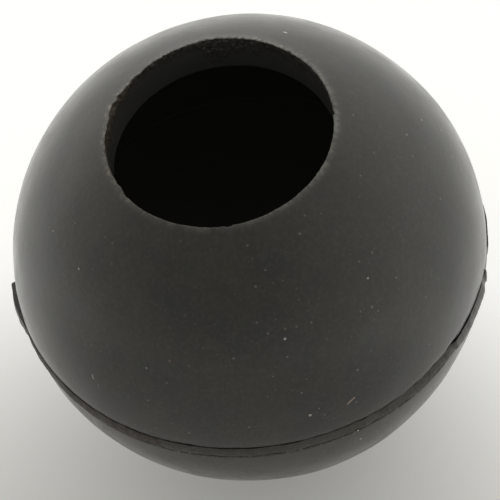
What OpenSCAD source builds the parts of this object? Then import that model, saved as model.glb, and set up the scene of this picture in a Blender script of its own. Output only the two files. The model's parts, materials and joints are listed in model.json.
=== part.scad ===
// Case opening friction ball: a thick, hollow rubber ball with a round opening through its crown.
// It is pressed on the screwed back of a watch case and turned, so that the rubber unscrews the back.
// Two moulded half shells meet at a parting plane and a ring of cured rubber joins them.
// The origin is the point the ball rests on. +Z runs up the axis of the opening.

/* [Ball] */
// Width of the ball across its equator, measured on the bare rubber
ball_width = 65; // [58:0.5:72]
// Height of the whole ball shape, before the opening takes its crown away
ball_height = 61.4; // [57:0.2:68]
// Thickness of the rubber wall
wall = 5.2; // [4.6:0.1:6.4]

/* [Opening] */
// Diameter of the round opening through the crown
opening_d = 28.8; // [22:0.2:34]

/* [Seam] */
// Height of the raised seam band that runs round the ball
band_height = 2.1; // [1.6:0.1:3]
// How far the seam band stands proud of the shells
band_proud = 0.35; // [0.2:0.05:0.6]
// How deep the seam band is set into the edges of the shells
band_depth = 0.8; // [0.6:0.1:1.4]
// Thickness of the bonding layer between the two shells
bond = 0.3; // [0.2:0.05:0.5]
// Height of the bead that is squeezed out inside the cavity
bead_height = 1.2; // [0.8:0.1:2]
// How far the inner bead stands into the cavity
bead_proud = 0.25; // [0.15:0.05:0.4]
// How far the parting plane leans away from square to the opening, in degrees
seam_lean = 4.8; // [0:0.2:6]
// The direction that the parting plane's upper side leans to, in degrees from +X
seam_lean_azimuth = 55; // [0:5:355]
// How far the middle of the seam band lies below the ball's centre
seam_drop = 0.3; // [0:0.1:1]

/* [Hidden] */
$fn = 96;

centre_z = ball_height / 2;
rubber = [0.13, 0.13, 0.12];
seam_rubber = [0.10, 0.10, 0.095];
// Larger than the ball in every direction, for the cutters
reach = 2 * ball_width;
// The cutters run this much past the faces they cut
past = 1;

// The ball shape, slightly flattened from crown to foot. A positive inset makes it smaller all round.
module spheroid(inset = 0) {
    radius = ball_width / 2 - inset;
    half_height = ball_height / 2 - inset;
    translate([0, 0, centre_z])
        scale([1, 1, half_height / radius])
            sphere(r = radius);
}

// Puts its children in the frame of the parting plane: z = 0 is the plane through the middle of the seam.
module at_seam() {
    translate([0, 0, centre_z])
        rotate([0, 0, seam_lean_azimuth])
            rotate([0, seam_lean, 0])
                translate([0, 0, -seam_drop])
                    children();
}

// A slab of the given thickness, centred on the parting plane.
module seam_slab(thickness) {
    at_seam() cube([reach, reach, thickness], center = true);
}

// All of the space on one side of the parting plane. side is 1 above it and -1 below it.
module seam_side(side) {
    at_seam() translate([0, 0, side * reach / 2]) cube(reach, center = true);
}

// The round opening, from the cavity out past the crown.
module opening() {
    translate([0, 0, centre_z]) cylinder(d = opening_d, h = ball_height / 2 + past);
}

// One moulded half shell. Its edge is rebated outside for the seam band and inside for the bead.
module half_shell(side) {
    difference() {
        intersection() {
            spheroid();
            seam_side(side);
        }
        spheroid(wall);
        seam_slab(bond);
        difference() {
            seam_slab(band_height);
            spheroid(band_depth);
        }
    }
}

// The upper shell carries the opening.
module upper_shell() {
    color(rubber)
        difference() {
            half_shell(1);
            opening();
        }
}

// The lower shell is closed, and the ball rests on its foot.
module lower_shell() {
    color(rubber) half_shell(-1);
}

// The cured joint: a band outside, a thin bonding layer through the wall and a bead inside, all one ring.
module seam_band() {
    color(seam_rubber)
        union() {
            difference() {
                intersection() {
                    spheroid(-band_proud);
                    seam_slab(band_height);
                }
                spheroid(band_depth);
            }
            difference() {
                intersection() {
                    spheroid(band_depth);
                    seam_slab(bond);
                }
                spheroid(wall);
            }
            difference() {
                intersection() {
                    spheroid(wall);
                    seam_slab(bead_height);
                }
                spheroid(wall + bead_proud);
            }
        }
}

upper_shell();
lower_shell();
seam_band();
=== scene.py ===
"""The looks of the case opening friction ball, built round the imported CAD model.

Shapes are worked out in millimetres from the ball's centre and become metres in the CAD's frame.
Its origin is the point that the ball rests on, and +Z runs up the axis of the opening.
An azimuth is an angle about +Z from +X.
An inset is a depth below the bare rubber, so a negative one is proud.
An offset is a height above the plane through the middle of the seam, square to that plane.
"""
import json
import math

import bpy
import numpy as np
from mathutils import Matrix, Vector


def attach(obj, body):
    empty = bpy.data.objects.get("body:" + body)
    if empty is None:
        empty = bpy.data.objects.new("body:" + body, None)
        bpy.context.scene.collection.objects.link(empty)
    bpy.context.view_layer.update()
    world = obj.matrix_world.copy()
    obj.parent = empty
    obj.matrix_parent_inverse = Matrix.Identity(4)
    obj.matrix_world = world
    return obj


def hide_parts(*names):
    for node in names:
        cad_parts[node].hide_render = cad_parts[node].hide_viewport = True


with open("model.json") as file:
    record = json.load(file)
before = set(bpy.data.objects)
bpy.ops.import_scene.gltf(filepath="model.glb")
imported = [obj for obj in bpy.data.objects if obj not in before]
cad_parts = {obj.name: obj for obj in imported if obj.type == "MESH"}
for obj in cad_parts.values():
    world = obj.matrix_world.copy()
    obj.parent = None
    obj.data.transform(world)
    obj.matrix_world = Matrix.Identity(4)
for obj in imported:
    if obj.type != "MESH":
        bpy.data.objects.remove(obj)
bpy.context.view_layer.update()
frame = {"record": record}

# ---------------------------------------------------------------- sizes, in millimetres and degrees
MM = 0.001

BALL_RADIUS = 32.5
BALL_HALF_HEIGHT = 30.7
WALL = 5.2
BAND_HEIGHT = 2.1
BAND_DEPTH = 0.8
BOND = 0.3
BEAD_HEIGHT = 1.2
# The bead barely shows inside, so it is nearly flush here
BEAD_PROUD = 0.07
SEAM_LEAN = 4.8
SEAM_LEAN_AZIMUTH = 55.0
SEAM_DROP = 0.3
# How far moulded rubber strays from true, and over what length: a slow wobble and a quicker one
SLOW_WOBBLE, SLOW_LENGTH = 0.045, 24.0
QUICK_WOBBLE, QUICK_LENGTH = 0.012, 6.5
# Edges that turn by more than this are drawn sharp
SHARP_ANGLE = 50

opening = next(mount for mount in frame["record"]["mounts"] if mount["name"] == "opening")
MOUTH_RADIUS = opening["dims"]["r_mm"]

CENTRE = Vector((0, 0, BALL_HALF_HEIGHT * MM))


# ---------------------------------------------------------------- curves and noise
def smoothstep(value, low, high):
    """0 below low, 1 above high and a smooth rise between them."""
    t = np.clip((value - low) / (high - low), 0, 1)
    return t * t * (3 - 2 * t)


def around(azimuth, stations):
    """A value that follows (azimuth in degrees, value) stations round the ball, smooth between them."""
    degrees = np.degrees(azimuth) % 360
    stations = sorted((station % 360, value) for station, value in stations)
    first, last = stations[0], stations[-1]
    stations = [(last[0] - 360, last[1])] + stations + [(first[0] + 360, first[1])]
    result = np.zeros_like(degrees)
    for (start, here), (end, there) in zip(stations, stations[1:]):
        inside = (degrees >= start) & (degrees < end)
        result[inside] = here + (there - here) * smoothstep(degrees[inside], start, end)
    return result


def ragged(azimuth, seed, lowest, highest, roll_off):
    """Noise round a circle, about -2 to 2, made of whole waves from lowest to highest per turn."""
    random = np.random.default_rng(seed)
    total = np.zeros_like(azimuth)
    power = 0.0
    for waves in range(lowest, highest + 1):
        size = waves ** -roll_off
        total += size * np.cos(waves * azimuth + random.uniform(0, 2 * math.pi))
        power += size * size / 2
    return total / math.sqrt(power)


def lumps(points, seed, wavelength, waves=40):
    """Smooth noise through space, about -2 to 2, at roughly one wavelength in millimetres."""
    random = np.random.default_rng(seed)
    total = np.zeros(points.shape[:-1])
    for _ in range(waves):
        direction = random.normal(size=3)
        direction *= 2 * math.pi / (np.linalg.norm(direction) * wavelength * random.uniform(0.7, 1.5))
        total += np.cos(points @ direction + random.uniform(0, 2 * math.pi))
    return total / math.sqrt(waves / 2)


# ---------------------------------------------------------------- the ball shape
def on_ball(azimuth, latitude, inset=0.0):
    """Points on the ball shape, made smaller all round by the inset."""
    radius = (BALL_RADIUS - inset) * np.cos(latitude)
    height = (BALL_HALF_HEIGHT - inset) * np.sin(latitude)
    return np.stack([radius * np.cos(azimuth), radius * np.sin(azimuth), height + 0 * azimuth], axis=-1)


def seam_latitude(azimuth, inset, offset):
    """The latitude at which the ball shape crosses a plane that is parallel to the seam's."""
    lean = math.radians(SEAM_LEAN)
    sideways = (BALL_RADIUS - inset) * math.sin(lean) * np.cos(azimuth - math.radians(SEAM_LEAN_AZIMUTH))
    upwards = (BALL_HALF_HEIGHT - inset) * math.cos(lean)
    return np.arcsin((offset - SEAM_DROP) / np.hypot(sideways, upwards)) - np.arctan2(sideways, upwards)


def at_seam(azimuth, inset, offset):
    """Points near the seam, by their depth below the bare rubber and height above the seam's middle."""
    inset = inset + 0 * azimuth
    return on_ball(azimuth, seam_latitude(azimuth, inset, offset), inset)


def mouth_latitude(radius, inset):
    """The latitude at which the ball shape has that radius about the opening's axis."""
    return np.arccos(radius / (BALL_RADIUS - inset))


def moulded(points):
    """Outer points, moved in and out a little, as moulded rubber is never quite true."""
    outward = points / np.linalg.norm(points, axis=-1, keepdims=True)
    wobble = SLOW_WOBBLE * lumps(points, 11, SLOW_LENGTH) + QUICK_WOBBLE * lumps(points, 12, QUICK_LENGTH)
    return points + outward * wobble[..., None]


# ---------------------------------------------------------------- meshes
def turns(count):
    """Azimuths of the columns round the ball."""
    return np.linspace(0, 2 * math.pi, count, endpoint=False)


def shell_mesh(name, rows, ring, masks):
    """A closed mesh from rows of points, each row once round the ball.

    A ring joins its last row to its first. Otherwise each end row closes in a fan on one point.
    masks are values for each point, by name, which the materials read.
    """
    rows = np.asarray(rows)
    row_count, columns = rows.shape[:2]
    points = rows.reshape(-1, 3)
    values = {mask: np.asarray(value).reshape(-1) for mask, value in masks.items()}
    column = np.arange(columns)
    beside = (column + 1) % columns
    faces = []
    for row in range(row_count if ring else row_count - 1):
        here, above = row * columns, (row + 1) % row_count * columns
        faces += np.stack([here + column, here + beside, above + beside, above + column], axis=1).tolist()
    if not ring:
        for row, flip in ((0, True), (row_count - 1, False)):
            points = np.vstack([points, rows[row].mean(axis=0)])
            values = {mask: np.append(value, value[row * columns]) for mask, value in values.items()}
            start = row * columns
            fan = np.stack([start + column, start + beside, np.full(columns, len(points) - 1)], axis=1)
            faces += (fan[:, ::-1] if flip else fan).tolist()
    mesh = bpy.data.meshes.new(name)
    mesh.from_pydata((points * MM + np.array(CENTRE)).tolist(), [], faces)
    for mask, value in values.items():
        mesh.attributes.new(mask, "FLOAT", "POINT").data.foreach_set("value", value.astype(np.float32))
    mesh.validate()
    mesh.shade_smooth()
    mesh.set_sharp_from_angle(angle=math.radians(SHARP_ANGLE))
    piece = bpy.data.objects.new(name, mesh)
    bpy.context.scene.collection.objects.link(piece)
    return piece


def eased(count, crowding):
    """Shares from 0 to 1, closer together towards both ends as crowding goes from 0 to 1."""
    share = np.linspace(0, 1, count)
    return share + crowding * (smoothstep(share, 0, 1) - share)


# ---------------------------------------------------------------- the upper shell
UPPER_COLUMNS = 960
# The rounding of both shells' edges at the seam
EDGE_ROUND = 0.12
# Shares of a quarter turn at which a rounded edge has its rows
QUARTER = (0.0, 0.3, 0.6, 1.0)
# How far outside the opening's edge the dome's own rows stop and the lip's begin
LIP_REACH = 1.5
# The lip's rows: how far outside the edge each lies, and how far it stands up
LIP_ROWS = ((1.2, 0.005), (0.9, 0.02), (0.65, 0.035), (0.42, 0.045), (0.22, 0.04), (0.08, 0.02))
# How far the torn edge lies below the dome's surface
LIP_DROP = 0.05
# How much wider the bore is than the opening's nominal radius, so that its lumps don't narrow it
BORE_EASE = 0.05
# The rounding of the bore's inner edge, and how far the edge ends below the bore
BORE_ROUND = 0.15
BORE_SINK = 0.05
# Shares of the bore's length at which its rows lie, crowded where it is torn
BORE_SHARES = (0.02, 0.045, *np.arange(0.07, 0.60, 0.03), 0.64, 0.72, 0.80, 0.88, 0.94, 0.98)
# The depths of the middle rows of each shell's face at the parting plane
LAYER_DEPTHS = (3.6, 2.0)

# Where the opening's torn edge has lost a piece: azimuth, half width in degrees, and depth of the cut
LIP_NICKS = [
    (149, 5.0, 0.34),
    (141, 1.6, 0.24),
    (128, 2.2, 0.16),
    (108, 1.0, 0.30),
    (103, 2.8, 0.14),
    (84, 1.5, 0.18),
    (66, 1.2, 0.16),
    (39, 0.9, 0.14),
    (-8, 1.4, 0.12),
    (-97, 1.8, 0.12),
    (205, 2.0, 0.14),
]
# The lists that follow give a value round the ball, as (azimuth in degrees, value) stations
# How rough the torn edge is, round the opening
LIP_ROUGH = [(-90, 0.35), (0, 0.6), (60, 1.0), (150, 1.25), (190, 0.7), (230, 0.35)]
# How deep below the edge the bore's wall is torn, round the opening
TORN_DEPTH = [
    (-90, 0.35), (-40, 0.5), (0, 1.2), (40, 2.4), (80, 3.2), (100, 2.0), (125, 1.2), (140, 1.8),
    (160, 3.0), (190, 3.4), (225, 1.2),
]
# How pale the edge is, round the opening: rubbed wear with a painted highlight
LIP_WEAR_AND_HIGHLIGHT = [
    (-100, 0.3), (-60, 0.6), (-20, 1.0), (20, 1.1), (60, 1.1), (100, 0.7), (140, 0.5), (180, 0.45),
    (230, 0.3),
]
# How dark and torn the dome's edge is above the seam: its darkening is painted shade in the crease over the
# band
EDGE_SHADE_AND_TEAR = [
    (-165, 0.5), (-140, 0.7), (-66, 0.8), (-58, 1.0), (-46, 1.0), (-40, 0.8), (-25, 0.5), (0, 0.3),
    (150, 0.4),
]
# How far the dome's edge is rolled in above the seam
EDGE_CUT = [
    (-165, 0.0), (-145, 0.08), (-66, 0.08), (-58, 0.18), (-47, 0.24), (-43, 0.10), (-36, 0.04), (-24, 0.0),
]
# How brown the torn rubber is, round the opening
LIP_BROWN = [(-60, 0.2), (60, 0.12), (110, 0.2), (150, 0.9), (200, 1.0), (235, 0.5)]
# How much pale dust has lodged along the edge, round the opening
LIP_DUST = [(-100, 0.1), (-20, 0.2), (20, 0.5), (60, 0.9), (100, 0.9), (140, 0.9), (180, 0.6), (215, 0.25)]
# How much of its full height the lip stands up just outside the edge, round the opening
LIP_STANDING = [(-100, 0.1), (-60, 0.5), (-20, 1.0), (80, 1.0), (130, 0.4), (230, 0.1)]


def lip_radius(azimuth):
    """The opening's outer edge: the mouth's radius with tears and nicks."""
    roughness = 0.050 * ragged(azimuth, 21, 5, 40, 0.8) + 0.032 * ragged(azimuth, 22, 40, 230, 0.4)
    radius = MOUTH_RADIUS + around(azimuth, LIP_ROUGH) * roughness
    for place, half_width, depth in LIP_NICKS:
        away = np.abs((np.degrees(azimuth) - place + 180) % 360 - 180)
        radius += depth * (1 - smoothstep(away, 0.55 * half_width, 1.15 * half_width))
    return radius


def build_upper_shell():
    """The dome with the opening: a ring of rows up the outside, down the bore, and down the inside."""
    azimuth = turns(UPPER_COLUMNS)
    lip = lip_radius(azimuth)
    torn_depth = around(azimuth, TORN_DEPTH) * (1 + 0.25 * ragged(azimuth, 23, 6, 90, 0.7))
    wear_and_highlight = around(azimuth, LIP_WEAR_AND_HIGHLIGHT) * (1 + 0.30 * ragged(azimuth, 24, 10, 120, 0.6))
    brown = around(azimuth, LIP_BROWN)
    top = BAND_HEIGHT / 2
    rows = []
    masks = {"torn_and_shade": [], "brown": [], "worn_and_highlight": [], "dusty": [], "inner": [], "bore": []}

    def row(points, torn_and_shade=0.0, worn_and_highlight=0.0, dusty=0.0, inner=0.0, bore=0.0, brown_share=brown):
        """Adds one row of points, with its masks. Only torn rubber is brown, by the share."""
        rows.append(points)
        values = (torn_and_shade, torn_and_shade * brown_share, worn_and_highlight, dusty, inner, bore)
        for mask, value in zip(masks.values(), values):
            mask.append(value + 0 * azimuth)

    # The rebate that the seam band is set into, then the rounded edge of the dome.
    # The torn colour on the dome's edge is painted shade in the crease over the seam
    edge_shade_and_tear = around(azimuth, EDGE_SHADE_AND_TEAR)
    edge_cut = around(azimuth, EDGE_CUT) * (1 + 0.2 * ragged(azimuth, 25, 20, 140, 0.6))
    row(at_seam(azimuth, BAND_DEPTH, top))
    row(at_seam(azimuth, 0.55, top))
    for share in QUARTER:
        angle = share * math.pi / 2
        inset = EDGE_ROUND * (1 - math.sin(angle)) + edge_cut
        points = moulded(at_seam(azimuth, inset, top + EDGE_ROUND * (1 - math.cos(angle))))
        row(points, torn_and_shade=edge_shade_and_tear, brown_share=0.1, dusty=0.1)
    # The dome, up to the lip.
    low = seam_latitude(azimuth, 0.0, top + EDGE_ROUND)
    high = mouth_latitude(lip + LIP_REACH, 0.0)
    for share in eased(43, 0.75)[1:]:
        latitude = low + (high - low) * share
        above_edge = (latitude - low) * BALL_HALF_HEIGHT
        # The painted shade on the dome's edge fades out within about half a millimetre above it
        fade = np.exp(-(above_edge / 0.5) ** 2)
        points = moulded(on_ball(azimuth, latitude, edge_cut * fade))
        row(points, torn_and_shade=edge_shade_and_tear * fade, brown_share=0.1, dusty=0.2 * np.exp(-above_edge / 0.6))
    # The lip stands up a little just outside the edge, where it is pale: rubbed wear with a painted
    # highlight.
    standing = around(azimuth, LIP_STANDING)
    lip_dust = around(azimuth, LIP_DUST)
    for outside, raised in LIP_ROWS:
        latitude = mouth_latitude(lip + outside, 0.0)
        points = moulded(on_ball(azimuth, latitude, -raised * standing))
        pale = wear_and_highlight * math.exp(-((outside - 0.1) / 0.42) ** 2)
        crumbs = lip_dust * math.exp(-((outside - 0.2) / 0.35) ** 2)
        row(points, worn_and_highlight=pale, torn_and_shade=0.15 * math.exp(-outside / 0.2), dusty=crumbs)
    edge = moulded(on_ball(azimuth, mouth_latitude(lip, 0.0)))
    row(edge - np.array([0, 0, LIP_DROP]), torn_and_shade=0.5, worn_and_highlight=0.8 * wear_and_highlight)
    # The bore: torn near the mouth, smooth below it, with a rounded inner edge.
    across = np.stack([np.cos(azimuth), np.sin(azimuth)], axis=-1)
    floor_of_bore = (BALL_HALF_HEIGHT - WALL) * math.sin(mouth_latitude(MOUTH_RADIUS, WALL))
    for share in BORE_SHARES:
        height = edge[:, 2] - LIP_DROP + (floor_of_bore + BORE_ROUND - edge[:, 2]) * share
        depth = edge[:, 2] - height
        tearing = 1 - smoothstep(depth, 0.30 * torn_depth, 1.15 * torn_depth)
        settle = smoothstep(depth, 0.0, 0.9)
        radius = lip + (MOUTH_RADIUS + BORE_EASE - lip) * settle
        points = np.column_stack([across * radius[:, None], height])
        crumbs = 0.030 * lumps(points, 31, 1.3) + 0.022 * lumps(points, 32, 0.55)
        radius = radius - tearing * (0.05 * smoothstep(depth, 0, 0.5) + smoothstep(depth, 0, 0.4) * crumbs)
        radius = radius + 0.012 * lumps(points, 33, 5.0)
        points = np.column_stack([across * radius[:, None], height])
        row(points, torn_and_shade=tearing, bore=1 - tearing, dusty=0.35 * lip_dust * tearing)
    for share in (0.0, 0.35, 0.7, 1.0):
        angle = share * math.pi / 2
        radius = MOUTH_RADIUS + BORE_EASE + BORE_ROUND * (1 - math.cos(angle)) + 0 * azimuth
        height = floor_of_bore + BORE_ROUND * (1 - math.sin(angle)) - BORE_SINK * share + 0 * azimuth
        row(np.column_stack([across * radius[:, None], height]), bore=1.0 - share)
    # The cavity's roof, down to the parting plane, and back to the rebate.
    high = mouth_latitude(MOUTH_RADIUS + 0.6, WALL)
    low = seam_latitude(azimuth, WALL, BOND / 2)
    for share in np.linspace(0, 1, 14):
        row(on_ball(azimuth, high + (low - high) * share, WALL), inner=1.0)
    for inset in (*LAYER_DEPTHS, BAND_DEPTH):
        row(at_seam(azimuth, inset, BOND / 2))
    return shell_mesh("upper_shell_rubber", rows, True, masks)


# ---------------------------------------------------------------- the lower shell
LOWER_COLUMNS = 720
# The latitude where the rows stop just short of the foot and close in a fan
FOOT_LATITUDE = -89.5


def build_lower_shell():
    """The closed bowl: rows from the foot up the outside, over the rim, and down the inside."""
    azimuth = turns(LOWER_COLUMNS)
    bottom = -BAND_HEIGHT / 2
    foot = math.radians(FOOT_LATITUDE)
    rows, dusty, inner = [], [], []

    def row(points, dusty_here=0.0, inner_here=0.0):
        """Adds one row of points, with its masks."""
        rows.append(points)
        dusty.append(dusty_here + 0 * azimuth)
        inner.append(inner_here + 0 * azimuth)

    rim = seam_latitude(azimuth, 0.0, bottom - EDGE_ROUND)
    for share in eased(60, 0.55)[:-1]:
        latitude = foot + (rim - foot) * share
        below_edge = (rim - latitude) * BALL_HALF_HEIGHT
        row(moulded(on_ball(azimuth, latitude)), 0.45 * np.exp(-below_edge / 0.5))
    for share in QUARTER:
        angle = share * math.pi / 2
        inset = EDGE_ROUND * (1 - math.cos(angle))
        row(moulded(at_seam(azimuth, inset, bottom - EDGE_ROUND * (1 - math.sin(angle)))), 0.45)
    for inset in (0.45, BAND_DEPTH):
        row(at_seam(azimuth, inset, bottom))
    for inset in (BAND_DEPTH, *LAYER_DEPTHS[::-1]):
        row(at_seam(azimuth, inset, -BOND / 2))
    inner_rim = seam_latitude(azimuth, WALL, -BOND / 2)
    for share in np.linspace(0, 1, 24):
        row(on_ball(azimuth, inner_rim + (foot - inner_rim) * share, WALL), inner_here=1.0)
    zero = np.zeros((len(rows), LOWER_COLUMNS))
    masks = {"torn_and_shade": zero, "brown": zero, "worn_and_highlight": zero, "dusty": dusty, "inner": inner, "bore": zero}
    return shell_mesh("lower_shell_rubber", rows, False, masks)


# ---------------------------------------------------------------- the seam
SEAM_COLUMNS = 1440
# The gap between the cured joint and the shells
SLACK = 0.02
# The rounding of the band's upper and lower edges
BAND_ROUND = 0.07
# The depth of the middle row of the thin layer between the shells
LAYER_DEPTH = 3.0

# How rough the band's torn edge is
BAND_ROUGH = [(-150, 0.5), (-60, 0.9), (-45, 1.0), (-10, 0.7), (60, 1.0), (120, 1.0), (180, 0.6)]
# How far the band's face stands proud of the ball. It is left ragged where it was torn off
BAND_PROUD = [
    (-170, 0.20), (-150, 0.14), (-132, 0.06), (-120, 0.0), (-104, -0.02), (-84, -0.06), (-64, -0.05),
    (-58, -0.04), (-49, -0.04), (-46.5, -0.04), (-45.2, 0.30), (-41, 0.44), (-32, 0.46), (-28.6, 0.50),
    (-27.4, 0.42), (-26.8, 0.28), (-25.9, 0.26), (-25.1, 0.42), (-24.3, 0.36), (-23.5, 0.0), (-19, -0.02),
    (-16, 0.18), (-8, 0.26), (0, 0.22), (14, 0.16), (22, 0.12), (30, 0.26), (52, 0.33), (57, 0.30),
    (58.5, 0.06), (66, 0.04), (69, 0.22), (95, 0.30), (118, 0.34), (121, 0.12), (128, 0.16), (150, 0.24),
    (170, 0.16), (174.6, 0.10), (175.6, 1.00), (180, 0.95), (185, 0.70), (188.4, 0.36),
]
# How far the top of the band's face leans in under the dome's edge
BAND_UNDERCUT = [
    (-168, 0.08), (-140, 0.24), (-110, 0.24), (-70, 0.32), (-60, 0.46), (-48, 0.46), (-45.5, 0.24),
    (-41, 0.34), (-35, 0.38), (-28, 0.42), (-22, 0.0), (170, 0.0), (177, 0.25), (186, 0.20),
]
# How deep the groove is behind the band, where the flash has lifted away from the dome's edge
BAND_GROOVE = [(-48, 0.0), (-45, 0.30), (-38, 0.25), (-30, 0.15), (-26, 0.0)]
# The height of the open line above the band, and of the one below it
UPPER_LINE = [
    (-165, 0.30), (-145, 0.48), (-90, 0.60), (-70, 0.68), (-60, 0.78), (-48, 0.80), (-44.5, 0.26),
    (-34, 0.22), (-28, 0.12), (-20, 0.10), (90, 0.12), (180, 0.12),
]
LOWER_LINE = [
    (-160, 0.10), (-140, 0.13), (-110, 0.12), (-97, 0.06), (-85, 0.02), (-48, 0.02), (-40, 0.05),
    (90, 0.08), (180, 0.08),
]
# How torn the band's face is
BAND_TORN = [
    (-168, 0.9), (-135, 0.9), (-115, 0.45), (-75, 0.35), (-60, 0.5), (-49, 0.6), (-45, 0.15), (-28, 0.1),
    (-24, 0.6), (0, 0.5), (58, 0.3), (70, 0.8), (120, 0.6), (170, 0.5), (176, 0.15), (186, 0.2),
]
# How brown the torn part of the band is
BAND_BROWN = [(-170, 0.8), (-130, 0.7), (-110, 0.3), (-50, 0.2), (0, 0.4), (120, 0.7), (170, 0.4)]


def build_seam():
    """The cured joint: a ragged band outside, a thin layer through the wall and a bead inside."""
    azimuth = turns(SEAM_COLUMNS)
    torn_edge = 0.025 * ragged(azimuth, 41, 20, 120, 0.5) + 0.012 * ragged(azimuth, 42, 120, 400, 0.3)
    proud = around(azimuth, BAND_PROUD) + around(azimuth, BAND_ROUGH) * torn_edge
    undercut = around(azimuth, BAND_UNDERCUT)
    groove = around(azimuth, BAND_GROOVE)
    upper_line = around(azimuth, UPPER_LINE) + 0.025 * ragged(azimuth, 43, 8, 160, 0.5)
    lower_line = around(azimuth, LOWER_LINE) + 0.020 * ragged(azimuth, 44, 8, 160, 0.5)
    top = BAND_HEIGHT / 2 - np.clip(upper_line, 0.02, 0.88)
    bottom = -BAND_HEIGHT / 2 + np.clip(lower_line, 0.01, 0.5)
    ripped = around(azimuth, BAND_TORN) * (1 + 0.2 * ragged(azimuth, 46, 10, 90, 0.5))
    ripped = np.clip(ripped, 0, 1)
    root = BAND_DEPTH - SLACK
    rows, torn_and_shade, inner = [], [], []

    def row(inset, offset, torn_here=0.0, outer=False, inner_here=0.0):
        """Adds one row of points, with its masks. Outer ones share the shells' wobble."""
        points = at_seam(azimuth, inset, offset)
        rows.append(moulded(points) if outer else points)
        torn_and_shade.append(torn_here + 0 * azimuth)
        inner.append(inner_here + 0 * azimuth)

    # The band: its underside, a rounded lower edge, the face, a rounded upper edge and the groove.
    row(root, bottom)
    row(0.5 * (root - proud), bottom)
    for share in (0.0, 0.5, 1.0):
        angle = share * math.pi / 2
        face = -proud + BAND_ROUND * (1 - math.sin(angle))
        row(face, bottom + BAND_ROUND * (1 - math.cos(angle)), ripped, True)
    for share in (0.18, 0.34, 0.5, 0.66, 0.82):
        offset = bottom + BAND_ROUND + (top - bottom - 2 * BAND_ROUND) * share
        face = -proud + undercut * share ** 2
        crumbs = 0.010 * lumps(at_seam(azimuth, face, offset), 45, 1.6)
        hollow = 0.03 * np.clip(proud, 0, 1) * math.sin(math.pi * share)
        row(face + crumbs + hollow, offset, ripped, True)
    for share in (0.0, 0.5, 1.0):
        angle = share * math.pi / 2
        face = -proud + undercut + BAND_ROUND * (1 - math.cos(angle))
        row(face, top - BAND_ROUND * (1 - math.sin(angle)), ripped, True)
    inner_lip = undercut - proud + BAND_ROUND
    row(inner_lip + 0.08 * (root - inner_lip), top - 0.7 * groove)
    row(inner_lip + 0.30 * (root - inner_lip), top - groove)
    row(root, top - groove)
    # The thin layer through the wall, with the bead at its inner edge.
    row(root, BOND / 2 - SLACK)
    row(LAYER_DEPTH, BOND / 2 - SLACK)
    row(WALL, BOND / 2 - SLACK)
    for share in np.linspace(0, 1, 13):
        height = BEAD_HEIGHT / 2 * (1 - 2 * share)
        row(WALL + BEAD_PROUD * (0.5 - 0.5 * math.cos(2 * math.pi * share)), height, inner_here=1.0)
    row(WALL, -BOND / 2 + SLACK)
    row(LAYER_DEPTH, -BOND / 2 + SLACK)
    row(root, -BOND / 2 + SLACK)
    zero = np.zeros((len(rows), SEAM_COLUMNS))
    brown = np.array(torn_and_shade) * around(azimuth, BAND_BROWN)
    masks = {"torn_and_shade": torn_and_shade, "brown": brown, "worn_and_highlight": zero, "dusty": zero, "inner": inner, "bore": zero}
    return shell_mesh("seam_flash", rows, True, masks)


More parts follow.
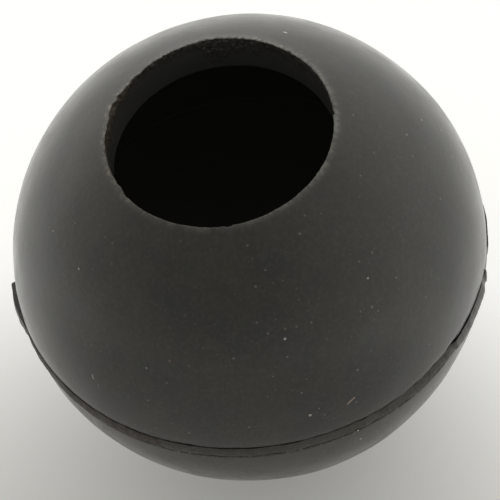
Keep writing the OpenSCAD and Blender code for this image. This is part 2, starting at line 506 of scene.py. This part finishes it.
# ---------------------------------------------------------------- materials
class Nodes:
    """Adds and joins the shader nodes of one material."""

    def __init__(self, tree):
        self.tree = tree

    def add(self, kind, inputs=None, **settings):
        """A node with these settings, and with these inputs set or linked."""
        node = self.tree.nodes.new(kind)
        for name, value in settings.items():
            setattr(node, name, value)
        for name, value in (inputs or {}).items():
            if isinstance(value, bpy.types.NodeSocket):
                self.tree.links.new(value, node.inputs[name])
            else:
                node.inputs[name].default_value = value
        return node

    def math(self, operation, first, second=0.0):
        """The result of a Math node."""
        return self.add("ShaderNodeMath", {0: first, 1: second}, operation=operation).outputs[0]

    def rise(self, value, low, high, start=0.0, end=1.0):
        """start below low, end above high, smooth between them."""
        inputs = {"Value": value, "From Min": low, "From Max": high, "To Min": start, "To Max": end}
        return self.add("ShaderNodeMapRange", inputs, interpolation_type="SMOOTHSTEP").outputs[0]

    def blend(self, share, first, second):
        """A colour that goes from first to second by the share."""
        node = self.add("ShaderNodeMix", data_type="RGBA")
        for socket, value in ((0, share), (6, first), (7, second)):
            if isinstance(value, bpy.types.NodeSocket):
                self.tree.links.new(value, node.inputs[socket])
            else:
                node.inputs[socket].default_value = value
        return node.outputs[2]

    def noise(self, place, wavelength, detail=3.0, roughness=0.5):
        """Noise at that wavelength in millimetres."""
        inputs = {"Vector": place, "Scale": 1 / wavelength, "Detail": detail, "Roughness": roughness}
        return self.add("ShaderNodeTexNoise", inputs).outputs[0]

    def mask(self, name):
        """A value that the mesh carries at each point."""
        return self.add("ShaderNodeAttribute", attribute_name=name).outputs["Fac"]

    def specks(self, place, cell, radius, share):
        """Round specks up to that radius, one in each cell at most, and only in that share of the cells."""
        cells = self.add("ShaderNodeTexVoronoi", {"Vector": place, "Scale": 1 / cell})
        chance = self.add("ShaderNodeSeparateColor", {0: cells.outputs["Color"]})
        size = self.math("MULTIPLY", chance.outputs[1], radius / cell)
        inside = self.math("SUBTRACT", size, cells.outputs["Distance"])
        spot = self.rise(inside, 0.0, 0.35 * radius / cell)
        chosen = self.math("GREATER_THAN", chance.outputs[0], 1 - share)
        return self.math("MULTIPLY", spot, chosen)

    def streak(self, place, start, end, radius):
        """A soft line on the ball between two (azimuth, latitude) places, in degrees."""
        first, last = (
            Vector(on_ball(np.array([math.radians(azimuth)]), math.radians(latitude))[0]) + CENTRE / MM
            for azimuth, latitude in (start, end)
        )
        along = last - first
        if along.length > 0:
            away = self.add("ShaderNodeVectorMath", {0: place, 1: first}, operation="SUBTRACT").outputs[0]
            inputs = {0: away, 1: along / along.length_squared}
            share = self.add("ShaderNodeVectorMath", inputs, operation="DOT_PRODUCT").outputs["Value"]
            share = self.add("ShaderNodeClamp", {"Value": share}).outputs[0]
            inputs = {0: along, "Scale": share}
            nearest = self.add("ShaderNodeVectorMath", inputs, operation="SCALE").outputs[0]
            inputs = {0: away, 1: nearest}
        else:
            inputs = {0: place, 1: first}
        distance = self.add("ShaderNodeVectorMath", inputs, operation="DISTANCE").outputs["Value"]
        return self.rise(distance, 0.4 * radius, 1.2 * radius, 1.0, 0.0)


def grey(value, warmth=0.0):
    """A near neutral colour, with less blue than grey by a share."""
    return (value * (1 + 0.15 * warmth), value, value * (1 - 1.6 * warmth), 1.0)


# Torn rubber, at its darkest and palest, and the same where it has gone brown. The torn colours also paint
# shade along the dome's edge over the seam
TORN_AND_SHADE_COLOURS = (0.008, 0.008, 0.007, 1.0), (0.040, 0.036, 0.030, 1.0)
BROWN_COLOURS = (0.014, 0.010, 0.007, 1.0), (0.090, 0.066, 0.042, 1.0)
# Pale rubbed rubber, also a painted highlight along the opening's edge
WORN_AND_HIGHLIGHT_COLOUR = grey(0.120, 0.05)
LODGED_DUST = (0.34, 0.30, 0.24, 1.0)
BORE_COLOUR = grey(0.045, 0.04)
INNER_COLOUR = grey(0.050, 0.10)
# The dust: the cell each speck may sit in, its largest radius, the share of cells with one, its colour
DUST = (
    (0.62, 0.14, 0.50, grey(0.050, 0.12)),
    (1.05, 0.20, 0.50, grey(0.095, 0.10)),
    (1.60, 0.23, 0.45, (0.115, 0.086, 0.068, 1.0)),
    (1.90, 0.22, 0.45, grey(0.190, 0.10)),
    (2.60, 0.27, 0.50, grey(0.450, 0.08)),
)
# Scratches and lint: from one (azimuth, latitude) to another in degrees, the radius, the colour
MARKS = (
    ((-77.5, 13), (-75.5, 14), 0.11, (0.26, 0.20, 0.17, 1.0)),
    ((-140, 20), (-139.5, 19), 0.11, grey(0.26, 0.04)),
    ((-138, 18), (-138, 17), 0.08, grey(0.10, 0.04)),
    ((50, 56), (51, 56), 0.17, grey(0.50, 0.02)),
    ((142, 42), (142, 42), 0.20, grey(0.004)),
    ((144, 44), (144, 44), 0.16, grey(0.004)),
)


def rubber(name, tone, warmth, roughness, gloss, grain):
    """Old black rubber: mottled, dusty, brown where it is torn, darkened with painted shade along the
    dome's edge over the seam, and pale where it is rubbed, with a painted highlight along the opening's
    edge.
    """
    material = bpy.data.materials.new(name)
    material.use_nodes = True
    nodes = Nodes(material.node_tree)
    shader = material.node_tree.nodes["Principled BSDF"]
    place = nodes.add("ShaderNodeTexCoord").outputs["Object"]
    scaled = nodes.add("ShaderNodeVectorMath", {0: place, "Scale": 1 / MM}, operation="SCALE")
    place = scaled.outputs[0]

    # The rubber itself: faint warm and cool clouds, then a finer pale bloom.
    clouds = nodes.rise(nodes.noise(place, 9.0, 3.0, 0.6), 0.35, 0.65)
    colour = nodes.blend(clouds, grey(0.90 * tone, 0.03 + warmth), grey(1.10 * tone, 0.17 + warmth))
    bloom = nodes.rise(nodes.noise(place, 1.6, 5.0, 0.65), 0.48, 0.78)
    colour = nodes.blend(nodes.math("MULTIPLY", bloom, 0.34), colour, grey(2.2 * tone, 0.10))
    mottle = nodes.rise(nodes.noise(place, 0.55, 3.0, 0.6), 0.42, 0.72)
    colour = nodes.blend(nodes.math("MULTIPLY", mottle, 0.30), colour, grey(2.6 * tone, 0.10))

    # Torn rubber is browner, and its dark colour is also painted shade on the dome's edge over the seam.
    # Rubbed edges are pale, with a painted highlight along the opening's edge.
    torn_and_shade = nodes.mask("torn_and_shade")
    crumbly = nodes.rise(nodes.noise(place, 0.5, 4.0, 0.7), 0.35, 0.70)
    torn_and_shade_colour = nodes.blend(crumbly, *TORN_AND_SHADE_COLOURS)
    colour = nodes.blend(nodes.math("MULTIPLY", torn_and_shade, 0.9), colour, torn_and_shade_colour)
    brown_colour = nodes.blend(crumbly, *BROWN_COLOURS)
    colour = nodes.blend(nodes.math("MULTIPLY", nodes.mask("brown"), 0.9), colour, brown_colour)
    patchy = nodes.rise(nodes.noise(place, 0.45, 3.0, 0.7), 0.20, 0.60)
    # The pale edge of the opening is painted highlight as well as wear
    colour = nodes.blend(nodes.math("MULTIPLY", nodes.mask("worn_and_highlight"), patchy), colour, WORN_AND_HIGHLIGHT_COLOUR)

    # Dust: fine specks, thicker in drifts, then larger, brown and bright ones.
    drifts = nodes.rise(nodes.noise(place, 11.0, 2.0, 0.5), 0.35, 0.62, 0.35, 1.0)
    for cell, radius, share, dust in DUST:
        shift = (cell * 7, cell * 3, cell * 5)
        shifted = nodes.add("ShaderNodeVectorMath", {0: place, 1: shift}).outputs[0]
        specks = nodes.specks(shifted, cell, radius, share)
        colour = nodes.blend(nodes.math("MULTIPLY", specks, drifts), colour, dust)
    for start, end, radius, dust in MARKS:
        colour = nodes.blend(nodes.streak(place, start, end, radius), colour, dust)
    lodged = nodes.rise(nodes.noise(place, 0.48, 2.0, 0.6), 0.53, 0.66)
    lodged = nodes.math("MULTIPLY", lodged, nodes.mask("dusty"))
    colour = nodes.blend(nodes.math("MULTIPLY", lodged, 0.6), colour, LODGED_DUST)

    # The bore and the cavity have their own even tones.
    inner = nodes.mask("inner")
    colour = nodes.blend(nodes.math("MULTIPLY", nodes.mask("bore"), 0.8), colour, BORE_COLOUR)
    colour = nodes.blend(inner, colour, INNER_COLOUR)
    nodes.tree.links.new(colour, shader.inputs["Base Color"])

    # A dull, slightly uneven shine.
    uneven = nodes.noise(place, 4.5, 4.0, 0.6)
    shine = nodes.rise(uneven, 0.25, 0.75, roughness - 0.05, roughness + 0.07)
    shine = nodes.math("ADD", shine, nodes.math("MULTIPLY", torn_and_shade, 0.3))
    shine = nodes.math("ADD", shine, nodes.math("MULTIPLY", inner, 0.45))
    nodes.tree.links.new(shine, shader.inputs["Roughness"])
    shader.inputs["IOR"].default_value = 1.5
    shader.inputs["Specular IOR Level"].default_value = gloss

    # The grain of the mould, small pits, and the rough torn faces.
    fine = nodes.math("MULTIPLY", nodes.noise(place, 0.30, 3.0, 0.6), grain * 0.010)
    coarse = nodes.math("MULTIPLY", nodes.noise(place, 1.4, 4.0, 0.6), grain * 0.030)
    pits = nodes.math("MULTIPLY", nodes.specks(place, 2.1, 0.17, 0.35), -0.05)
    ripped = nodes.math("MULTIPLY", nodes.math("MULTIPLY", crumbly, torn_and_shade), 0.10)
    height = nodes.math("ADD", nodes.math("ADD", fine, coarse), nodes.math("ADD", pits, ripped))
    bump = nodes.add("ShaderNodeBump", {"Height": height, "Distance": MM, "Strength": 1.0})
    nodes.tree.links.new(bump.outputs[0], shader.inputs["Normal"])
    return material


def dress(piece, node, material):
    """Puts a piece in a CAD node's place, on the one body, with its material."""
    piece.data.materials.append(material)
    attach(piece, "root")
    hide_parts(node)


# ---------------------------------------------------------------- camera, light and floor
CAMERA_DISTANCE = 227.5
CAMERA_ELEVATION = 57.2
CAMERA_ROLL = 14.7
# The field of view, as a lens and the width of its sensor
CAMERA_LENS = 118.4
CAMERA_SENSOR = 36
# Where the ball's centre lies from the middle of the view, to the right and up
VIEW_SHIFT = (-0.11, 0.585)
# The room is dimmest this way: above the front, a little to the left
DIM_SIDE = Vector((-0.27, -0.58, 0.77)).normalized()
# The room's strength at its brightest and dimmest, and its colour
ROOM_BRIGHTEST = 1.16
ROOM_DIMMEST = 0.36
ROOM_COLOUR = (1.015, 1.0, 0.94, 1.0)
# The floor's half width, in metres
FLOOR_HALF = 4.0
FLOOR_COLOUR = (0.80, 0.80, 0.80, 1.0)
# The floor's painted glow, at its brightest and faintest, and its colour; its faint side is painted shade
# in front of the ball
GLOW_BRIGHTEST = 0.50
GLOW_FAINTEST = 0.02
GLOW_COLOUR = (1.0, 1.0, 0.98, 1.0)
# The painted glow fades into painted shade round a point this far back from the ball and this far below the
# floor
GLOW_BACK = 45
GLOW_BELOW = 50


def add_camera():
    """The camera, in front of the ball and above it, rolled so that the opening leans to the left."""
    elevation, roll = math.radians(CAMERA_ELEVATION), math.radians(CAMERA_ROLL)
    back = Vector((0, -math.cos(elevation), math.sin(elevation)))
    level_right = Vector((1, 0, 0))
    level_up = back.cross(level_right)
    right = math.cos(roll) * level_right - math.sin(roll) * level_up
    up = math.sin(roll) * level_right + math.cos(roll) * level_up
    place = CENTRE + (CAMERA_DISTANCE * back - VIEW_SHIFT[0] * right - VIEW_SHIFT[1] * up) * MM
    data = bpy.data.cameras.new("camera")
    data.sensor_width = CAMERA_SENSOR
    data.lens = CAMERA_LENS
    data.clip_start = 0.01
    camera = bpy.data.objects.new("camera", data)
    camera.matrix_world = Matrix.Translation(place) @ Matrix((right, up, back)).transposed().to_4x4()
    bpy.context.scene.collection.objects.link(camera)
    bpy.context.scene.camera = camera


def add_white_room():
    """A white room all round, brightest low behind the ball and dimmest above its front."""
    world = bpy.data.worlds.new("white_room")
    world.use_nodes = True
    bpy.context.scene.world = world
    nodes = Nodes(world.node_tree)
    direction = nodes.add("ShaderNodeTexCoord").outputs["Generated"]
    towards = nodes.add("ShaderNodeVectorMath", {0: direction, 1: DIM_SIDE}, operation="DOT_PRODUCT")
    inputs = {"Value": towards.outputs["Value"], "From Min": -0.15, "From Max": 1.0}
    inputs.update({"To Min": ROOM_BRIGHTEST, "To Max": ROOM_DIMMEST})
    strength = nodes.add("ShaderNodeMapRange", inputs)
    background = world.node_tree.nodes["Background"]
    background.inputs["Color"].default_value = ROOM_COLOUR
    world.node_tree.links.new(strength.outputs[0], background.inputs["Strength"])


def add_floor():
    """A plain white floor with a painted glow, which fades into painted shade towards the room's dim side.
    """
    corners = [(x * FLOOR_HALF, y * FLOOR_HALF, 0) for x, y in ((-1, -1), (1, -1), (1, 1), (-1, 1))]
    mesh = bpy.data.meshes.new("floor")
    mesh.from_pydata(corners, [], [(0, 1, 2, 3)])
    floor = bpy.data.objects.new("floor", mesh)
    bpy.context.scene.collection.objects.link(floor)
    material = bpy.data.materials.new("floor_white")
    material.use_nodes = True
    nodes = Nodes(material.node_tree)
    shader = material.node_tree.nodes["Principled BSDF"]
    shader.inputs["Base Color"].default_value = FLOOR_COLOUR
    shader.inputs["Roughness"].default_value = 1.0
    shader.inputs["Specular IOR Level"].default_value = 0.0
    shader.inputs["Emission Color"].default_value = GLOW_COLOUR
    place = nodes.add("ShaderNodeTexCoord").outputs["Object"]
    dim_side = Vector((DIM_SIDE.x, DIM_SIDE.y, 0)).normalized()
    below = -GLOW_BACK * MM * dim_side - Vector((0, 0, GLOW_BELOW * MM))
    away = nodes.add("ShaderNodeVectorMath", {0: place, 1: below}, operation="SUBTRACT").outputs[0]
    away = nodes.add("ShaderNodeVectorMath", {0: away}, operation="NORMALIZE").outputs[0]
    towards = nodes.add("ShaderNodeVectorMath", {0: away, 1: dim_side}, operation="DOT_PRODUCT")
    # Painted light on the floor, fading to painted shade in front of the ball
    glow = nodes.rise(towards.outputs["Value"], 0.40, 0.90, GLOW_BRIGHTEST, GLOW_FAINTEST)
    material.node_tree.links.new(glow, shader.inputs["Emission Strength"])
    mesh.materials.append(material)


# ---------------------------------------------------------------- the scene
add_camera()
add_white_room()
add_floor()

upper = build_upper_shell()
upper_rubber = rubber("upper_rubber", tone=0.019, warmth=0.0, roughness=0.20, gloss=0.50, grain=0.8)
dress(upper, "upper_shell", upper_rubber)
lower = build_lower_shell()
lower_rubber = rubber("lower_rubber", tone=0.020, warmth=0.06, roughness=0.24, gloss=0.43, grain=1.0)
dress(lower, "lower_shell", lower_rubber)
seam = build_seam()
flash_rubber = rubber("flash_rubber", tone=0.024, warmth=0.06, roughness=0.30, gloss=0.50, grain=1.0)
dress(seam, "seam_band", flash_rubber)

bpy.context.scene.view_settings.view_transform = "Standard"
